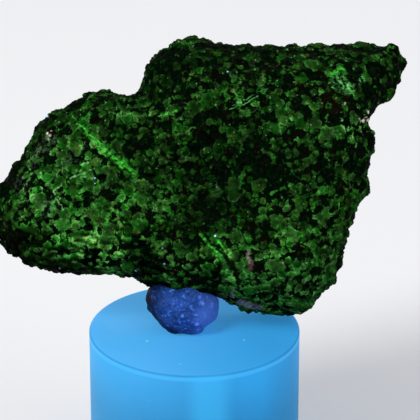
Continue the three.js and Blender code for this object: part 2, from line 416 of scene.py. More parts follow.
def geometry_tree(name):
    tree = bpy.data.node_groups.new(name, "GeometryNodeTree")
    tree.interface.new_socket(name="Geometry", in_out="INPUT", socket_type="NodeSocketGeometry")
    tree.interface.new_socket(name="Geometry", in_out="OUTPUT", socket_type="NodeSocketGeometry")
    return tree


def pushed_out(obj, name, height_of):
    """Moves the vertices of obj along their normals by a field in millimetres of the rest position."""
    tree = geometry_tree(name)
    g = Graph(tree)
    source = g.node("NodeGroupInput")
    rest = g.field(g.node("GeometryNodeInputNamedAttribute", {"Name": "rest"}, data_type="FLOAT_VECTOR"))
    normal = g.field(g.node("GeometryNodeInputNormal"))
    offset = g.scaled(normal, height_of(g, rest) * MM)
    move = g.node("GeometryNodeSetPosition", {"Offset": offset})
    tree.links.new(source.outputs[0], move.inputs["Geometry"])
    result = g.node("NodeGroupOutput")
    tree.links.new(move.outputs[0], result.inputs[0])
    modifier = obj.modifiers.new(name, "NODES")
    modifier.node_group = tree
    bake_modifiers(obj)


def bake_modifiers(obj):
    """Gives obj the mesh that its modifiers make, and takes them off."""
    view = bpy.context.evaluated_depsgraph_get()
    view.update()
    mesh = bpy.data.meshes.new_from_object(obj.evaluated_get(view), preserve_all_data_layers=True,
                                           depsgraph=view)
    obj.modifiers.clear()
    obj.data = mesh


def copy_of(node, name):
    piece = bpy.data.objects.new(name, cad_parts[node].data.copy())
    bpy.context.scene.collection.objects.link(piece)
    piece.data.materials.clear()
    return piece


def remeshed(obj, voxel, smooth_steps):
    remesh = obj.modifiers.new("remesh", "REMESH")
    remesh.mode = "VOXEL"
    remesh.voxel_size = voxel * MM
    smooth = obj.modifiers.new("smooth", "SMOOTH")
    smooth.factor = 0.5
    smooth.iterations = smooth_steps
    bake_modifiers(obj)


def keep_rest(obj, to_own_frame):
    """Stores each vertex's place in millimetres, in the piece's own frame, as the attribute rest."""
    rest = obj.data.attributes.new("rest", "FLOAT_VECTOR", "POINT")
    places = []
    for vertex in obj.data.vertices:
        places.extend(to_own_frame @ vertex.co)
    rest.data.foreach_set("vector", places)


def lifted_off_stand(obj, gap):
    """Lifts what would sink into the stand to a small gap above it."""
    lowest = (STAND["height"] + gap) * MM
    for vertex in obj.data.vertices:
        vertex.co.z = max(vertex.co.z, lowest)


def smooth_shaded(obj):
    obj.data.polygons.foreach_set("use_smooth", [True] * len(obj.data.polygons))
    obj.data.update()


# Materials

def new_material(name):
    material = bpy.data.materials.new(name)
    material.use_nodes = True
    material.node_tree.nodes.clear()
    return material, Graph(material.node_tree)


def surface(g, color, color_share, roughness, height, bump_strength, fixed_values):
    """Ends a material. A share of the colour reflects, and the colour itself glows. The bump's
    height is in millimetres."""
    bump = g.node("ShaderNodeBump", {"Height": height * MM, "Distance": 1.0, "Strength": bump_strength})
    shader = g.node("ShaderNodeBsdfPrincipled")
    for name, value in fixed_values.items():
        shader.inputs[name].default_value = value
    g.feed(shader.inputs["Base Color"], g.scaled(color, color_share))
    g.feed(shader.inputs["Emission Color"], color)
    g.feed(shader.inputs["Roughness"], roughness)
    g.feed(shader.inputs["Normal"], g.field(bump))
    result = g.node("ShaderNodeOutputMaterial")
    g.tree.links.new(shader.outputs[0], result.inputs["Surface"])


def dressed(obj, node, material):
    """Puts obj in the place of a CAD node: gives it its material, hangs it under the root body and hides
    the node.
    """
    obj.data.materials.append(material)
    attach(obj, "root")
    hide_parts(node)


# The stone's shape

# Painted shade darkens the rims from where they face down the stone's face by the first share to the
# second.
DOWN_START = 0.28
DOWN_FULL = 0.64


def stone_frame():
    """From metres in the row's frame to millimetres in the stone's own frame."""
    place = Matrix.Translation(Vector(STONE_PLACE) * MM)
    turn = Matrix.Rotation(math.pi / 2 - STONE_LEAN, 4, "X")
    return Matrix.Scale(1 / MM, 4) @ (place @ turn).inverted()


def keep_down(obj):
    """Stores how far each vertex faces down the stone's face, from 0 to 1, as the attribute down."""
    up_the_face = (stone_frame().inverted().to_3x3() @ Vector((0.0, 1.0, 0.0))).normalized()
    down = obj.data.attributes.new("down", "FLOAT", "POINT")
    values = []
    for vertex in obj.data.vertices:
        facing = -vertex.normal.dot(up_the_face)
        share = (facing - DOWN_START) / (DOWN_FULL - DOWN_START)
        values.append(min(max(share, 0.0), 1.0))
    down.data.foreach_set("value", values)


def make_stone():
    stone = copy_of("ore", "ore_stone")
    remeshed(stone, STONE_VOXEL, STONE_SMOOTHING)
    keep_rest(stone, stone_frame())
    pushed_out(stone, "stone_relief", stone_height)
    lifted_off_stand(stone, STONE_OFF_STAND)
    smooth_shaded(stone)
    keep_down(stone)
    return stone


# The stone's colours

WILLEMITE = {
    "leaf": (0.0078, 0.097, 0.0062),
    "dull": (0.0265, 0.093, 0.0165),
    "rusty": (0.046, 0.082, 0.008),
    "teal": (0.0100, 0.092, 0.0260),
    "lit": (0.066, 0.165, 0.052),
    "vivid": (0.022, 0.170, 0.018),
    "glint": (0.16, 0.34, 0.135),
    "vein": (0.055, 0.50, 0.038),
    "strand": (0.080, 0.42, 0.090),
    "thread": (0.11, 0.33, 0.10),
}
FRANKLINITE = {
    "black": (0.0002, 0.0020, 0.0006),
    "brown": (0.0030, 0.0008, 0.0008),
    "rusty": (0.0048, 0.0013, 0.0011),
    "green": (0.0016, 0.0085, 0.0020),
    "green crumb": (0.007, 0.027, 0.008),
    "brown crumb": (0.020, 0.014, 0.011),
}
FROST_GREY = (0.10, 0.17, 0.10)
FROST_MINT = (0.19, 0.53, 0.19)
CALCITE = {
    "lilac": (0.125, 0.120, 0.185),
    "buff": (0.180, 0.160, 0.135),
    "rose": (0.120, 0.048, 0.062),
}
CRYSTAL_AND_GLINT_COLOR = (0.55, 0.47, 0.40)
PAINTED_GLINT_COLOR = (0.40, 0.58, 0.85)

# The ore's colour glows a little, as painted light. Its gloss is faint, so that the black grains stay
# black.
STONE_SURFACE = {"IOR": 1.025, "Emission Strength": 0.30}
STONE_COLOR_SHARE = 1.05
WILLEMITE_LIGHT = 0.36
TINY_CELL = 0.85

# The stone's back rises towards its top, and so does the place where the front's colours end.
BACK_SLOPE = 0.17

# The direction of the long vein at the upper left, and of the fibres in it.
VEIN_WAY = (0.76, -0.65)

# Where colours change, in millimetres along x, y or z: each comes in between its first place
# and its second.
STONE_SPANS = {
    "front": (-8.4, -5.0),
    "rust": (-24.0, -12.0),
    "teal": (-14.0, -27.0),
    "lit": (-8.0, 16.0),
    "glints": (-4.0, 14.0),
    "unbroken veins": (-12.0, -8.0),
    "minty frost": (-20.0, 20.0),
    "calcite": (-16.0, -8.0),
    "buff": (-26.0, -24.0),
    "rose, from its top": (-18.6, -19.6),
    "rose, from its foot": (-22.0, -21.0),
    "fainter painted rim shade": (1.0, 8.0),
}

# Brighter and dimmer areas of the willemite: partly its own tone and partly painted light and shade.
BRIGHT_AREAS = [
    # x, y, radius, how much more the willemite glows
    (-31.0, -5.0, 17.0, 0.33),
    (-25.8, 5.5, 4.5, 0.62),
    (-30.0, 1.0, 4.0, 0.18),
    (-40.0, -0.5, 4.0, 0.58),
    (-41.5, -9.0, 4.5, 0.16),
    (-30.0, -14.5, 6.0, 0.66),
    (-26.0, -4.0, 5.0, 0.22),
    (-21.0, -9.0, 3.5, 0.16),
    (-25.5, -18.5, 5.0, 0.46),
    (28.0, -8.0, 5.0, 0.12),
    (-22.0, -16.0, 6.0, 0.34),
    (-14.0, -6.5, 8.0, 0.26),
    (-6.5, -19.0, 7.0, 0.26),
    (18.0, -21.0, 13.0, 0.24),
    (7.5, -25.0, 5.0, 0.30),
    (19.5, -14.5, 3.5, 0.48),
    (3.0, -15.0, 4.0, 0.26),
    (24.0, -7.0, 9.0, 0.14),
    (15.8, -4.5, 5.4, 0.38),
    (34.2, 10.5, 4.2, 0.64),
    (30.5, 14.5, 3.2, 0.52),
    (37.1, 24.2, 1.8, 0.30),
    (22.0, 11.0, 7.0, 0.14),
    (16.0, 21.0, 9.0, 0.13),
    (9.6, 18.0, 3.0, 0.22),
    (-17.0, 15.5, 5.0, 0.14),
    (-5.5, 15.0, 4.0, 0.10),
]
DIM_AREAS = [
    # x, y, radius, how much less it glows
    (7.0, 3.0, 11.0, 0.12),
    (-2.0, -7.0, 6.0, 0.18),
    (14.0, -10.5, 5.0, 0.32),
    (20.5, -9.5, 3.5, 0.30),
    (25.5, -15.5, 3.5, 0.18),
    (-22.5, 0.2, 6.0, 0.34),
    (-12.0, 0.0, 5.5, 0.16),
    (-20.5, 9.0, 5.0, 0.16),
    (-25.0, -8.5, 4.0, 0.22),
    (-19.5, -11.5, 4.0, 0.14),
    (-35.5, 1.0, 3.5, 0.22),
    (-46.0, -14.0, 6.0, 0.42),
    (-46.0, 2.0, 5.0, 0.36),
    (-40.0, 11.0, 5.0, 0.24),
    (-41.0, 5.5, 3.0, 0.12),
    (15.0, 0.0, 4.0, 0.15),
    (-33.0, 16.0, 5.0, 0.14),
    (-32.5, -21.0, 6.0, 0.26),
    (-14.0, -17.5, 4.0, 0.12),
    (-15.5, 20.5, 4.0, 0.12),
    (45.5, 22.0, 4.0, 0.10),
    (-8.0, 26.0, 7.0, 0.12),
    (0.0, 20.0, 4.0, 0.08),
    (6.0, 30.0, 8.0, 0.14),
    (26.0, 0.5, 7.0, 0.10),
    (-29.5, -9.5, 4.0, 0.24),
    (-10.0, -15.0, 3.5, 0.12),
    (1.0, -13.0, 4.5, 0.12),
    (16.0, 28.0, 6.0, 0.14),
    (34.0, 5.0, 4.0, 0.14),
    (20.5, 15.0, 3.0, 0.10),
    (35.5, 15.8, 3.0, 0.14),
    (32.0, 27.0, 4.0, 0.10),
]
VIVID_AREAS = [
    # x, y, radius, how far the willemite turns to pure green
    (30.8, 25.2, 2.6, 0.90),
    (31.2, 22.8, 2.6, 0.85),
    (33.6, 21.4, 1.6, 0.70),
    (36.5, 23.6, 1.5, 0.60),
    (3.0, -14.5, 2.6, 0.45),
    (9.6, 18.0, 3.0, 0.30),
]
RUSTY_AREAS = [
    # x, y, radius, how far the franklinite turns to brown
    (30.2, 18.6, 3.8, 0.80),
    (5.5, -22.5, 2.0, 0.80),
    (-5.5, -24.5, 3.0, 0.60),
]
LIT_RIMS = [
    # x, y, radius, how much of the lower rim's painted shade is missing
    (-20.0, -18.5, 4.5, 0.70),
    (-4.0, -21.0, 6.0, 0.85),
]
FROST = [
    # x, y, radius, strength
    (-36.0, 10.0, 1.3, 0.60),
    (-38.2, 7.8, 1.8, 0.50),
    (-31.0, 5.3, 1.4, 0.55),
    (-40.0, 4.6, 1.6, 0.35),
    (-43.0, -0.8, 2.2, 0.35),
    (-36.5, -6.5, 2.2, 0.35),
    (31.6, 23.0, 1.8, 0.60),
    (33.6, 21.6, 1.4, 0.60),
    (36.6, 23.8, 0.9, 0.40),
    (2.4, -1.0, 1.0, 0.35),
    (8.0, 17.9, 0.6, 0.35),
    (10.6, 18.8, 0.5, 0.50),
    (11.9, 19.6, 0.5, 0.40),
]
# Pale pinkish dots: partly small crystals and partly painted glints.
CRYSTALS_AND_GLINTS = [
    # x, y, z, radius, strength
    (37.9, 15.3, 2.7, 0.48, 1.0),
    (37.4, 14.4, 2.6, 0.44, 1.0),
    (38.0, 16.3, 6.6, 0.40, 0.8),
    (36.6, 14.2, 3.6, 0.34, 0.5),
    (35.9, 14.6, 7.5, 0.30, 0.4),
    (38.6, 14.6, 0.4, 0.50, 0.8),
    (32.5, 18.1, 10.5, 0.34, 0.42),
    (31.6, 16.0, 10.6, 0.30, 0.12),
    (27.2, 18.1, 11.6, 0.30, 0.18),
    (24.9, 22.4, 11.4, 0.24, 0.14),
    (21.4, 20.0, 12.0, 0.22, 0.14),
    (-37.0, 11.4, 5.1, 0.36, 1.0),
    (-36.3, 10.9, 5.9, 0.40, 0.42),
    (-36.5, 9.9, 6.2, 0.30, 0.30),
    (-36.1, 12.0, 5.2, 0.24, 0.34),
    (18.1, -19.0, 12.3, 0.36, 0.22),
]
# Painted glints: small blue-white highlights on the stone.
PAINTED_GLINTS = [
    # x, y, z, radius, strength
    (-37.1, 15.5, 1.4, 0.40, 1.0),
    (-34.2, -20.4, 1.3, 0.34, 1.0),
    (-16.2, -21.0, 6.5, 0.30, 1.0),
    (5.3, 25.5, 10.2, 0.24, 0.7),
    (2.4, -12.7, 11.0, 0.28, 1.0),
    (-9.4, -19.2, 9.5, 0.28, 0.7),
    (-9.8, -15.5, 12.2, 0.20, 0.5),
    (-25.6, 0.7, 11.0, 0.22, 0.8),
    (-25.5, -0.5, 11.3, 0.16, 0.7),
]

# Lines on the face: start x, y, end x, y, width, strength. Ribbons are chains of green grains,
# and strands are the thinnest veins.
RIBBONS = [
    (1.4, -15.2, 3.9, -18.3, 0.80, 0.85),
    (3.9, -18.3, 4.9, -21.0, 0.85, 0.80),
    (4.9, -21.0, 6.8, -24.1, 0.75, 0.75),
    (2.0, -13.0, 4.9, -15.7, 0.60, 0.85),
    (4.9, -15.7, 5.8, -17.5, 0.75, 0.75),
    (5.8, -17.5, 7.4, -19.4, 0.62, 0.75),
    (7.4, -19.4, 10.9, -22.2, 0.70, 0.75),
    (-17.0, -0.4, -11.6, -5.2, 0.80, 0.60),
    (-11.6, -5.2, -7.4, -7.2, 0.55, 0.50),
]
VEINS = [
    (-31.0, 15.4, -29.4, 13.6, 0.12, 0.45),
    (-29.7, 13.8, -27.4, 11.5, 0.26, 0.9),
    (-27.4, 11.5, -25.4, 9.2, 0.40, 1.0),
    (-25.4, 9.2, -23.4, 6.9, 0.64, 1.0),
    (-23.4, 6.9, -20.6, 5.3, 0.46, 1.0),
    (-20.6, 5.3, -19.4, 3.8, 0.46, 1.0),
    (-19.6, 4.2, -18.9, 3.5, 0.80, 1.0),
    (-19.0, 3.4, -16.1, 1.9, 0.34, 0.8),
    (-28.4, 12.4, -20.6, 5.3, 1.10, 0.22),
    (-20.6, 5.3, -16.6, 1.7, 1.05, 0.26),
    (-1.1, -12.2, 1.6, -15.4, 0.32, 0.55),
    (2.6, -13.6, 4.6, -15.6, 0.22, 0.60),
    (-11.0, 15.0, -6.5, 16.2, 0.12, 0.6),
    (29.9, 25.6, 32.2, 26.2, 0.50, 0.50),
    (33.2, 22.6, 34.4, 20.6, 0.30, 0.70),
]
STRANDS = [
    (5.5, 16.6, 9.2, 17.9, 0.07, 0.75),
    (9.0, 17.8, 12.4, 19.8, 0.09, 0.90),
    (6.2, 17.4, 8.6, 18.1, 0.06, 0.50),
    (9.6, 18.8, 11.6, 20.1, 0.06, 0.60),
    (8.4, 15.7, 11.0, 16.0, 0.06, 0.35),
    (11.0, 16.0, 12.3, 16.8, 0.06, 0.35),
    (12.4, 20.8, 14.6, 21.4, 0.06, 0.40),
]
PALE_LINES = [
    (-33.2, 4.6, -33.1, 2.0, 0.09, 0.8),
    (-31.3, 0.8, -25.6, 2.7, 0.15, 1.0),
    (-33.0, -0.6, -35.2, -2.2, 0.15, 1.0),
    (-35.2, -2.2, -34.4, -4.5, 0.18, 1.0),
    (-34.4, -4.5, -33.0, -6.7, 0.20, 0.9),
    (-42.3, -0.6, -42.2, -2.6, 0.09, 0.7),
    (-43.5, -5.0, -39.7, -4.0, 0.10, 0.5),
]
BLACK_LINES = [
    (2.8, -15.7, 4.9, -17.9, 0.40, 1.0),
    (4.9, -17.9, 6.6, -20.1, 0.62, 1.0),
    (6.6, -20.1, 7.6, -22.4, 0.60, 1.0),
    (7.6, -22.4, 7.6, -25.2, 0.55, 1.0),
]
CALCITE_LINES = [
    (10.1, -16.2, 10.1, -17.7, 0.55, 0.85),
    (10.2, -17.9, 10.6, -18.6, 0.42, 0.80),
    (10.6, -18.6, 10.5, -20.2, 0.52, 0.75),
    (8.2, -28.4, 12.8, -29.6, 0.62, 0.90),
    (6.6, -25.1, 6.4, -27.0, 0.30, 0.80),
    (3.0, -26.7, 4.8, -27.1, 0.50, 0.35),
]


def stone_skin(g, place):
    """The fields that the stone's colours share: front is 0 on the back, loose_x and loose_y wander,
    mottle and crests are fine and coarser patches, hair is thin wrinkles, thread breaks up the
    veins, and tiny is the smallest dots with their random values."""
    x, y, z = g.parts(place)
    front = g.ramp(z - y * BACK_SLOPE, *STONE_SPANS["front"])
    drift_x, drift_y = g.parts(g.wander(place, 0.6, 3.0))[:2]
    loose_x = x + drift_x * 1.6
    loose_y = y + drift_y * 1.6
    mottle = g.patches(place, 1.0, 2.0, 0.6)
    crests = g.patches(place, 0.5, 2.0, 0.55)
    wrinkle = g.noise(place, 0.75, 2.0, 0.6)
    hair = g.ramp(g.absolute(wrinkle - 0.5), 0.004, 0.032, 1.0, 0.0)
    thread = g.ramp(g.noise(place, 1.0, 3.0, 0.65), 0.30, 0.52)
    tiny_color, tiny_away = g.cells(place, TINY_CELL)[:2]
    tiny_chance, tiny_size, tiny_hue = g.parts(tiny_color)
    tiny = g.ramp(tiny_away / (0.10 + tiny_size * 0.22), 0.4, 1.2, 1.0, 0.0)
    return SimpleNamespace(
        place=place, x=x, y=y, z=z, front=front, drift_x=drift_x, drift_y=drift_y,
        loose_x=loose_x, loose_y=loose_y, mottle=mottle, crests=crests, hair=hair, thread=thread,
        tiny=tiny, tiny_chance=tiny_chance, tiny_size=tiny_size, tiny_hue=tiny_hue)


def frayed_place(g, skin):
    """The place with a ragged wander, for thin veins and crusts."""
    nudge_x, nudge_y = g.parts(g.wander(skin.place, 1.3, 2.0, 0.6))[:2]
    x = skin.x + skin.drift_x * 0.9 + nudge_x
    y = skin.y + skin.drift_y * 0.9 + nudge_y
    return SimpleNamespace(x=x, y=y, nudge_x=nudge_x, nudge_y=nudge_y)


def willemite_light(g, skin, grains):
    """How bright the willemite is: by area, partly painted light and shade, by grain, at its rim and in
    its own fine mottling.
    """
    bright = spots(g, skin.x, skin.y, BRIGHT_AREAS)
    dim = spots(g, skin.x, skin.y, DIM_AREAS)
    area = WILLEMITE_LIGHT + skin.front * (bright - dim)
    haze = g.patches(skin.place, 0.22)
    grain = 0.55 + grains.shade * 0.8
    rim = g.ramp(grains.deep, 0.0, 0.13) * g.ramp(grains.deep, 0.22, 0.54, 1.0, 0.0)
    seam = g.ramp(grains.edge, 0.03, 0.22, 1.0, 0.0)
    light = area * grain * (0.74 + haze * 0.33)
    light = light * (0.74 + skin.mottle * 0.24) * (0.44 + skin.crests * 0.90)
    light = light * (0.91 + rim * (skin.crests * 1.2 + skin.hair * 0.6))
    light = light * (1.0 + seam * (skin.crests * 0.8 - 0.32))
    return light * (1.0 + skin.tiny * g.more(skin.tiny_chance, 0.74) * 0.6 + skin.hair * 0.14)


def willemite_color(g, skin, grains):
    """The colour of the green grains, and how far chains of them cross the black."""
    light = willemite_light(g, skin, grains)
    dull = g.share(grains.hue * 0.9 + g.patches(skin.place, 0.8, 3.0, 0.7) * 0.9, 0.35, 1.45)
    leaf = g.tint(dull, WILLEMITE["leaf"], WILLEMITE["dull"])
    rust = g.ramp(g.noise(skin.place, 0.42), 0.50, 0.70)
    rust = rust * g.ramp(skin.y, *STONE_SPANS["rust"])
    leaf = g.tint(rust * 0.34, leaf, WILLEMITE["rusty"])
    leaf = g.tint(g.ramp(skin.y, *STONE_SPANS["teal"]) * 0.25, leaf, WILLEMITE["teal"])
    lit = g.ramp(light, 0.6, 2.4, 0.0, 0.36) * g.ramp(skin.y, *STONE_SPANS["lit"], 0.45, 1.15)
    leaf = g.tint(lit, leaf, WILLEMITE["lit"])
    ribbon = line_glow(g, skin.loose_x, skin.loose_y, RIBBONS) * skin.front
    ribbon = ribbon * g.ramp(skin.crests, 0.05, 0.5, 0.3, 1.0)
    vivid = g.least(spots(g, skin.x, skin.y, VIVID_AREAS), 1.0) * skin.front
    leaf = g.tint(vivid, leaf, WILLEMITE["vivid"])
    return g.scaled(leaf, light * (1.0 + ribbon * 1.5)), ribbon


def franklinite_color(g, skin):
    """Nearly black, with tiny dim grains of green and brown."""
    brown = g.ramp(g.noise(skin.place, 0.35, 1.0), 0.45, 0.65) * 0.5
    black = g.tint(brown, FRANKLINITE["black"], FRANKLINITE["brown"])
    rusty = spots(g, skin.x, skin.y, RUSTY_AREAS) * skin.front * (0.3 + skin.mottle * 0.7)
    black = g.tint(rusty, black, FRANKLINITE["rusty"])
    black = g.tint(g.ramp(skin.mottle, 0.35, 1.0) * 0.45, black, FRANKLINITE["green"])
    crumb = skin.tiny * g.more(skin.tiny_chance, 0.55)
    is_brown = g.more(skin.tiny_hue, 0.72)
    crumb_color = g.tint(is_brown, FRANKLINITE["green crumb"], FRANKLINITE["brown crumb"])
    return g.tint(crumb * (0.2 + skin.tiny_hue * 0.6), black, crumb_color)


def with_glints(g, skin, color, green):
    """Adds pale dots to the front's green grains, more of them towards the top."""
    higher = g.ramp(skin.y, *STONE_SPANS["glints"], 0.35, 1.0)
    glint = skin.tiny * g.more(skin.tiny_chance, 0.76) * higher
    glint = glint * skin.front * green * g.ramp(skin.tiny_size, 0.0, 0.9, 1.0, 0.35)
    return g.tint(glint, color, WILLEMITE["glint"])


def with_veins(g, skin, frayed, color, black_line):
    """Adds the veins of brighter willemite, which cross the grains and the gaps between them."""
    along = skin.x * VEIN_WAY[0] + skin.y * VEIN_WAY[1]
    across = skin.y * VEIN_WAY[0] - skin.x * VEIN_WAY[1]
    fibre = g.noise(g.joined(along * 0.35, across * 2.4, 0.0), 1.0)
    fibre = g.ramp(fibre, 0.40, 0.56, 0.25, 1.0)
    fibre = g.mix(g.ramp(skin.x, *STONE_SPANS["unbroken veins"]), fibre, 1.0)
    vein = line_glow(g, frayed.x, frayed.y, VEINS) * skin.front * skin.thread * fibre
    vein = g.least(vein * (0.60 + skin.mottle * 0.8), 1.0) * (1.0 - black_line * 0.9)
    color = g.tint(vein, color, g.scaled(WILLEMITE["vein"], 0.35 + skin.mottle * 0.65))

    strand_x = skin.x + skin.drift_x * 0.9 + frayed.nudge_x * 0.2
    strand_y = skin.y + skin.drift_y * 0.9 + frayed.nudge_y * 0.2
    strand = line_glow(g, strand_x, strand_y, STRANDS) * skin.front * (0.15 + skin.crests * 0.8)
    return g.tint(strand, color, WILLEMITE["strand"])


def with_crusts(g, skin, frayed, color, green):
    """Adds the pale threads, frost and calcite on the grains, crystals with painted glints, and more
    painted glints.
    """
    pale = line_glow(g, frayed.x, frayed.y, PALE_LINES) * skin.front * skin.thread
    color = g.tint(g.least(pale * (0.55 + skin.mottle * 0.5), 1.0), color, WILLEMITE["thread"])
    sugar = g.tint(g.ramp(skin.x, *STONE_SPANS["minty frost"]), FROST_GREY, FROST_MINT)
    frost = spots(g, skin.loose_x, skin.loose_y, FROST) * skin.front
    frost = frost * g.ramp(skin.mottle, 0.35, 1.0) * (0.35 + green * 0.65)
    color = g.tint(g.least(frost, 1.0), color, sugar)

    grit = g.ramp(g.noise(skin.place, 2.2, 3.0, 0.7), 0.44, 0.58)
    shown = g.ramp(skin.z, *STONE_SPANS["calcite"])
    calcite = line_glow(g, frayed.x + frayed.nudge_x * 0.6, frayed.y, CALCITE_LINES) * shown
    calcite = calcite * (0.35 + grit * 0.65) * g.ramp(skin.crests, 0.0, 0.35, 0.5, 1.0)
    calcite_color = g.tint(g.ramp(skin.y, *STONE_SPANS["buff"]), CALCITE["lilac"], CALCITE["buff"])
    rose = g.ramp(skin.y, *STONE_SPANS["rose, from its top"])
    rose = rose * g.ramp(skin.y, *STONE_SPANS["rose, from its foot"])
    calcite_color = g.tint(rose, calcite_color, CALCITE["rose"])
    color = g.tint(calcite, color, calcite_color)

    # Pale dots, partly crystals and partly painted glints.
    pale_dot_x = skin.x + frayed.nudge_x * 0.8
    pale_dot_y = skin.y + frayed.nudge_y * 0.8
    color = g.tint(dots(g, pale_dot_x, pale_dot_y, skin.z, CRYSTALS_AND_GLINTS), color, CRYSTAL_AND_GLINT_COLOR)
    # Painted blue-white glints.
    return g.tint(dots(g, skin.x, skin.y, skin.z, PAINTED_GLINTS), color, PAINTED_GLINT_COLOR)


def with_painted_rim_shade(g, skin, color):
    """Paints shade on the rims that face down the stone's face, less so at the right."""
    down = g.attribute("down", "Fac") * g.ramp(skin.x, *STONE_SPANS["fainter painted rim shade"], 1.0, 0.35)
    down = down * (1.0 - spots(g, skin.x, skin.y, LIT_RIMS))
    return g.scaled(color, 1.0 - down * 0.88)


def stone_material():
    material, g = new_material("ore_grains")
    place = g.attribute("rest", "Vector")
    grains = stone_grains(g, place)
    skin = stone_skin(g, place)
    willemite, ribbon = willemite_color(g, skin, grains)
    green = g.most(g.ramp(grains.deep + (skin.mottle - 0.5) * 0.14, -0.10, 0.20), ribbon)
    franklinite = franklinite_color(g, skin)
    black_line = line_glow(g, skin.loose_x, skin.loose_y, BLACK_LINES) * skin.front
    color = g.tint(green * (1.0 - black_line * 0.95), franklinite, willemite)
    color = with_glints(g, skin, color, green)
    frayed = frayed_place(g, skin)
    color = with_veins(g, skin, frayed, color, black_line)
    color = with_crusts(g, skin, frayed, color, green)
    color = with_painted_rim_shade(g, skin, color)
    height = g.noise(place, 4.5, 2.0, 0.6) * 0.030 + g.noise(place, 1.5, 2.0, 0.6) * 0.13
    roughness = g.mix(green, 0.32, 0.55) + (skin.mottle - 0.5) * 0.2
    surface(g, color, STONE_COLOR_SHARE, roughness, height, 0.9, STONE_SURFACE)
    return material


# The putty

PUTTY = {
    "dark": (0.006, 0.042, 0.21),
    "light": (0.020, 0.070, 0.32),
    "smear": (0.006, 0.018, 0.070),
    "blue fleck": (0.07, 0.31, 1.0),
    "violet fleck": (0.23, 0.27, 1.0),
    "dust": (0.07, 0.17, 0.55),
    "blotch": (0.09, 0.24, 0.90),
    "painted light on the right": (0.070, 0.17, 0.62),
}
# The putty's colour glows a little, as painted light.
PUTTY_SURFACE = {"IOR": 1.10, "Emission Strength": 0.30}
PUTTY_COLOR_SHARE = 0.9
PUTTY_FLECK_CELL = 1.3

# Where the putty's painted light and shade change, in millimetres: its painted shade at the left
# along x and at the lower left along a slanted direction in x and z, and its painted light at the right
# along x.
PUTTY_SHADE_LEFT = (-12.0, -4.0)
PUTTY_LIGHT_RIGHT = (-2.0, 4.5)
PUTTY_SHADE_BELOW = (30.0, 33.4)
PUTTY_SLANT = (0.58, 0.81)


def putty_height(g, place):
    return (g.noise(place, 0.35) - 0.5) * 0.7 + (g.noise(place, 1.6, 3.0) - 0.5) * 0.28


def make_putty():
    putty = copy_of("putty", "putty_lump")
    remeshed(putty, PUTTY_VOXEL, PUTTY_SMOOTHING)
    keep_rest(putty, Matrix.Scale(1 / MM, 4))
    pushed_out(putty, "putty_relief", putty_height)
    lifted_off_stand(putty, PUTTY_OFF_STAND)
    smooth_shaded(putty)
    return putty


def with_putty_flecks(g, place, color):
    """Adds bunches of bright flecks, and a finer dust of them."""
    fleck_color, away, middle = g.cells(place, PUTTY_FLECK_CELL)
    chance, size, hue = g.parts(fleck_color)
    bunch = g.patches(middle, 0.30, 1.0)
    fleck = g.ramp(away / (0.16 + size * 0.52), 0.2, 1.3, 1.0, 0.0)
    fleck = fleck * g.more(chance, 0.95 - bunch * 0.65)
    glow = g.tint(hue, PUTTY["blue fleck"], PUTTY["violet fleck"])
    color = g.tint(fleck * (0.30 + size * 0.6), color, glow)
    dust = g.patches(place, 2.2, 3.0, 0.6, 0.52, 0.66)
    return g.tint(dust * 0.40, color, PUTTY["dust"])


def putty_material():
    material, g = new_material("putty_navy")
    place = g.attribute("rest", "Vector")
    x, z = g.parts(place)[::2]
    cloud = g.patches(place, 0.28, 3.0, 0.6)
    smear = g.patches(g.vector("MULTIPLY", place, (0.5, 0.5, 1.4)), 0.9, 3.0, 0.6)
    color = g.tint(cloud, PUTTY["dark"], PUTTY["light"])
    color = g.tint(smear * smear * 0.75, color, PUTTY["smear"])
    color = with_putty_flecks(g, place, color)
    blotch = g.ramp(g.noise(place, 0.75, 2.0, 0.6), 0.56, 0.70)
    color = g.tint(blotch * 0.55, color, PUTTY["blotch"])

    # Painted shade makes the left and the lower left nearly black, and painted light makes the right the
    # lightest.
    color = g.tint(g.ramp(x, *PUTTY_LIGHT_RIGHT, 0.0, 0.45), color, PUTTY["painted light on the right"])
    shade_left = g.ramp(x, *PUTTY_SHADE_LEFT, 0.04, 1.0)
    shade_below = g.ramp(x * PUTTY_SLANT[0] + z * PUTTY_SLANT[1], *PUTTY_SHADE_BELOW, 0.10, 1.0)
    color = g.scaled(color, g.least(shade_left, shade_below))
    height = g.noise(place, 1.5, 4.0, 0.6) * 0.25 + g.noise(place, 5.0) * 0.06
    surface(g, color, PUTTY_COLOR_SHARE, 0.42 + cloud * 0.15, height, 0.8, PUTTY_SURFACE)
    return material


# The stand

PLASTIC = {
    # Painted shade at the right and painted light at the left.
    "right": (0.035, 0.30, 0.66),
    "left": (0.085, 0.42, 0.84),
    "cloud": (0.03, 0.38, 0.80),
    "painted side shade": (0.68, 0.94, 0.97),
    "painted highlight under rim": (0.075, 0.50, 0.95),
    "light_streak": (0.050, 0.50, 0.94),
    "rim line": (0.015, 0.16, 0.36),
    "fleck": (0.22, 0.70, 0.85),
    "dust": (0.20, 0.85, 0.72),
}
# The plastic's colour glows, as painted light.
PLASTIC_SURFACE = {
    "IOR": 1.16,
    "Subsurface Weight": 0.35,
    "Subsurface Scale": 0.004,
    "Subsurface Radius": (0.5, 0.9, 1.0),
    "Emission Strength": 0.52,
}
PLASTIC_COLOR_SHARE = 0.62
PLASTIC_FLECK_CELL = 4.5

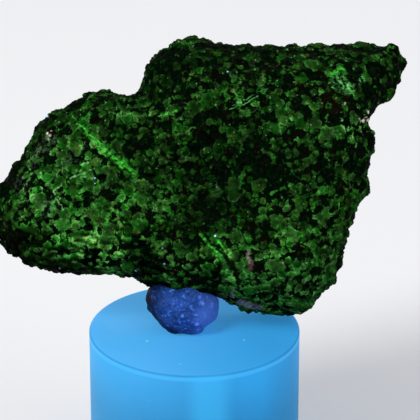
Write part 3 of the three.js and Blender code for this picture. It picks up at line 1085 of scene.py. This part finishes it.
# Where the plastic's painted light and shade change, in millimetres along x, and how far down its
# side the painted shade deepens. The light streak, painted light, has a place along x, half widths
# where it starts to fade and where it ends, and the stretch of y over which it comes in.
PAINTED_LIGHT_LEFT_TO_RIGHT = (-22.0, 20.0)
SIDE_PAINTED_LIGHT = (4.0, 14.0)
SIDE_PAINTED_SHADE = (15.0, 24.0)
SIDE_SHADE_FADE = 18.0
LIGHT_STREAK = {"x": 3.6, "fade": (1.5, 6.5), "front": (-12.0, -22.0)}

FOOT_RINGS = (8, 16, 22)
SIDE_STEP = 5
TOP_RINGS = (22, 18, 14, 10, 6, 3)
FOOT_EDGE_STEPS = 4
TOP_EDGE_STEPS = 5
DUST = [
    # x, y, radius, strength, on the stand's top
    (-11.1, -6.8, 0.50, 0.75),
    (11.7, -6.3, 0.50, 0.45),
    (-3.2, -18.9, 0.45, 0.35),
]


def stand_profile():
    """The stand's radius and height, from the middle of its foot to the middle of its top."""
    radius = STAND["radius"]
    height = STAND["height"]
    edge = STAND["edge"]
    points = [(0.0, 0.0)]
    points += [(r, 0.0) for r in FOOT_RINGS]
    for i in range(FOOT_EDGE_STEPS + 1):
        turn = math.radians(-90 + 90 * i / FOOT_EDGE_STEPS)
        points.append((radius - edge + edge * math.cos(turn), edge + edge * math.sin(turn)))
    points += [(radius, h) for h in range(SIDE_STEP, round(height), SIDE_STEP)]
    for i in range(TOP_EDGE_STEPS + 1):
        turn = math.radians(90 * i / TOP_EDGE_STEPS)
        points.append((radius - edge + edge * math.cos(turn), height - edge + edge * math.sin(turn)))
    points += [(r, height) for r in TOP_RINGS]
    points.append((0.0, height))
    return points


def turned(name, profile, sides):
    """A closed body turned round the z axis from a profile that starts and ends on it."""
    shape = bmesh.new()
    rings = []
    for radius, height in profile:
        if radius == 0:
            rings.append([shape.verts.new((0, 0, height * MM))])
            continue
        ring = []
        for i in range(sides):
            turn = 2 * math.pi * i / sides
            x = radius * math.cos(turn) * MM
            y = radius * math.sin(turn) * MM
            ring.append(shape.verts.new((x, y, height * MM)))
        rings.append(ring)
    for lower, upper in zip(rings, rings[1:]):
        for i in range(sides):
            after = (i + 1) % sides
            if len(lower) == 1:
                shape.faces.new((lower[0], upper[after], upper[i]))
            elif len(upper) == 1:
                shape.faces.new((lower[i], lower[after], upper[0]))
            else:
                shape.faces.new((lower[i], lower[after], upper[after], upper[i]))
    bmesh.ops.recalc_face_normals(shape, faces=shape.faces)
    mesh = bpy.data.meshes.new(name)
    shape.to_mesh(mesh)
    shape.free()
    body = bpy.data.objects.new(name, mesh)
    bpy.context.scene.collection.objects.link(body)
    return body


def make_stand():
    stand = turned("stand_riser", stand_profile(), STAND["sides"])
    keep_rest(stand, Matrix.Scale(1 / MM, 4))
    smooth_shaded(stand)
    return stand


def with_specks(g, place, color):
    """Adds faint flecks in the plastic and a few specks of dust on its top."""
    fleck_color, away = g.cells(place, PLASTIC_FLECK_CELL)[:2]
    chance, size = g.parts(fleck_color)[:2]
    fleck = g.ramp(away / (0.06 + size * 0.16), 0.5, 1.2, 1.0, 0.0) * g.more(chance, 0.66)
    color = g.tint(fleck * 0.35, color, PLASTIC["fleck"])
    for dust_x, dust_y, radius, strength in DUST:
        away = g.distance(place, (dust_x, dust_y, STAND["height"]))
        color = g.tint(g.ramp(away, radius * 0.4, radius, strength, 0.0), color, PLASTIC["dust"])
    return color


def stand_material():
    material, g = new_material("stand_milky_plastic")
    place = g.attribute("rest", "Vector")
    x, y, z = g.parts(place)
    radius = STAND["radius"]
    top = STAND["height"]
    cloud = g.patches(place, 0.07, 3.0, 0.55)
    # Painted light: lighter at the left and darker at the right.
    color = g.tint(g.ramp(x, *PAINTED_LIGHT_LEFT_TO_RIGHT, 1.0, 0.0), PLASTIC["right"], PLASTIC["left"])
    color = g.tint(cloud * 0.30, color, PLASTIC["cloud"])

    # Painted shade makes the side darker than the top, most of all towards its foot and at its far
    # right, and painted light lifts it right of the middle.
    away = g.length(g.joined(x, y, 0.0))
    side = g.ramp(away, radius - 0.4, radius - 0.1)
    color = g.tint(side, color, g.vector("MULTIPLY", color, PLASTIC["painted side shade"]))
    color = g.scaled(color, 1.0 - side * g.ramp(z, top, top - SIDE_SHADE_FADE, 0.08, 0.36))
    right = g.ramp(x, *SIDE_PAINTED_LIGHT, 0.0, 0.20) - g.ramp(x, *SIDE_PAINTED_SHADE, 0.0, 0.22)
    color = g.scaled(color, 1.0 + side * right)

    # A painted highlight lies under the rim, a soft painted light streak on the front, and a dark line
    # on the rim.
    rim_highlight = side * g.ramp(z, top - 1.8, top - 1.1) * g.ramp(z, top - 0.4, top - 0.7)
    color = g.tint(rim_highlight * 0.45, color, PLASTIC["painted highlight under rim"])
    # Painted light: a soft streak down the front of the side.
    light_streak = g.ramp(g.absolute(x - LIGHT_STREAK["x"]), *LIGHT_STREAK["fade"], 1.0, 0.0)
    light_streak = light_streak * g.ramp(y, *LIGHT_STREAK["front"]) * side
    color = g.tint(light_streak * 0.42, color, PLASTIC["light_streak"])
    rim = g.ramp(away, radius - 0.45, radius - 0.25)
    rim = rim * g.ramp(z, top - 0.5, top - 0.25) * g.ramp(z, top - 0.01, top - 0.05)
    color = g.tint(rim * 0.45, color, PLASTIC["rim line"])

    color = with_specks(g, place, color)
    scuffs = g.noise(g.vector("MULTIPLY", place, (0.35, 2.2, 2.2)), 1.3, 4.0, 0.6)
    height = g.noise(place, 0.35) * 0.10 + scuffs * 0.010
    roughness = g.ramp(scuffs, 0.3, 0.7, 0.38, 0.52)
    surface(g, color, PLASTIC_COLOR_SHARE, roughness, height, 0.5, PLASTIC_SURFACE)
    return material


# The studio

FLOOR_HALF = 4.0
FLOOR_DROP = 0.02
FLOOR_COLOR = (0.78, 0.78, 0.79, 1.0)
SKY_COLOR = (0.93, 0.95, 1.0, 1.0)
SKY_STRENGTH = 0.50
LIGHT_TARGET = (0.0, 0.0, 0.06)
LIGHTS = [
    # name, place, size, power, color
    ("key", (-0.75, -0.55, 0.95), 0.5, 12.0, (1.0, 0.98, 0.95)),
    ("fill", (0.9, -0.5, 0.6), 0.7, 3.5, (0.95, 0.97, 1.0)),
    ("back", (0.3, 0.9, 0.9), 0.6, 4.0, (1.0, 1.0, 1.0)),
]


def make_floor():
    mesh = bpy.data.meshes.new("floor")
    low = -FLOOR_DROP * MM
    signs = [(-1, -1), (1, -1), (1, 1), (-1, 1)]
    corners = [(x * FLOOR_HALF, y * FLOOR_HALF, low) for x, y in signs]
    mesh.from_pydata(corners, [], [(0, 1, 2, 3)])
    floor = bpy.data.objects.new("floor", mesh)
    bpy.context.scene.collection.objects.link(floor)
    material = bpy.data.materials.new("floor_pale")
    material.use_nodes = True
    shader = material.node_tree.nodes["Principled BSDF"]
    shader.inputs["Base Color"].default_value = FLOOR_COLOR
    shader.inputs["Roughness"].default_value = 0.9
    shader.inputs["Specular IOR Level"].default_value = 0.1
    mesh.materials.append(material)


def aim(obj, target):
    obj.rotation_euler = (Vector(target) - obj.location).to_track_quat("-Z", "Y").to_euler()


def add_light(name, place, size, power, color):
    lamp = bpy.data.lights.new(name, "AREA")
    lamp.shape = "DISK"
    lamp.size = size
    lamp.energy = power
    lamp.color = color
    light = bpy.data.objects.new(name, lamp)
    bpy.context.scene.collection.objects.link(light)
    light.location = place
    aim(light, LIGHT_TARGET)


def make_studio():
    make_floor()
    world = bpy.data.worlds.new("studio")
    world.use_nodes = True
    background = world.node_tree.nodes["Background"]
    background.inputs["Color"].default_value = SKY_COLOR
    background.inputs["Strength"].default_value = SKY_STRENGTH
    bpy.context.scene.world = world
    for light in LIGHTS:
        add_light(*light)
    bpy.context.scene.view_settings.view_transform = "Standard"
    bpy.context.scene.view_settings.look = "None"


def make_camera():
    lens = bpy.data.cameras.new("camera")
    lens.sensor_width = CAMERA["sensor"]
    lens.lens = CAMERA["lens"]
    lens.clip_start = 0.01
    lens.clip_end = 20.0
    camera = bpy.data.objects.new("camera", lens)
    bpy.context.scene.collection.objects.link(camera)
    target = Vector(CAMERA["target"]) * MM
    rise = math.radians(CAMERA["elevation"])
    camera.location = target + Vector((0.0, -math.cos(rise), math.sin(rise))) * CAMERA["distance"] * MM
    aim(camera, target)
    bpy.context.scene.camera = camera


dressed(make_stone(), "ore", stone_material())
dressed(make_putty(), "putty", putty_material())
dressed(make_stand(), "stand", stand_material())
make_studio()
make_camera()
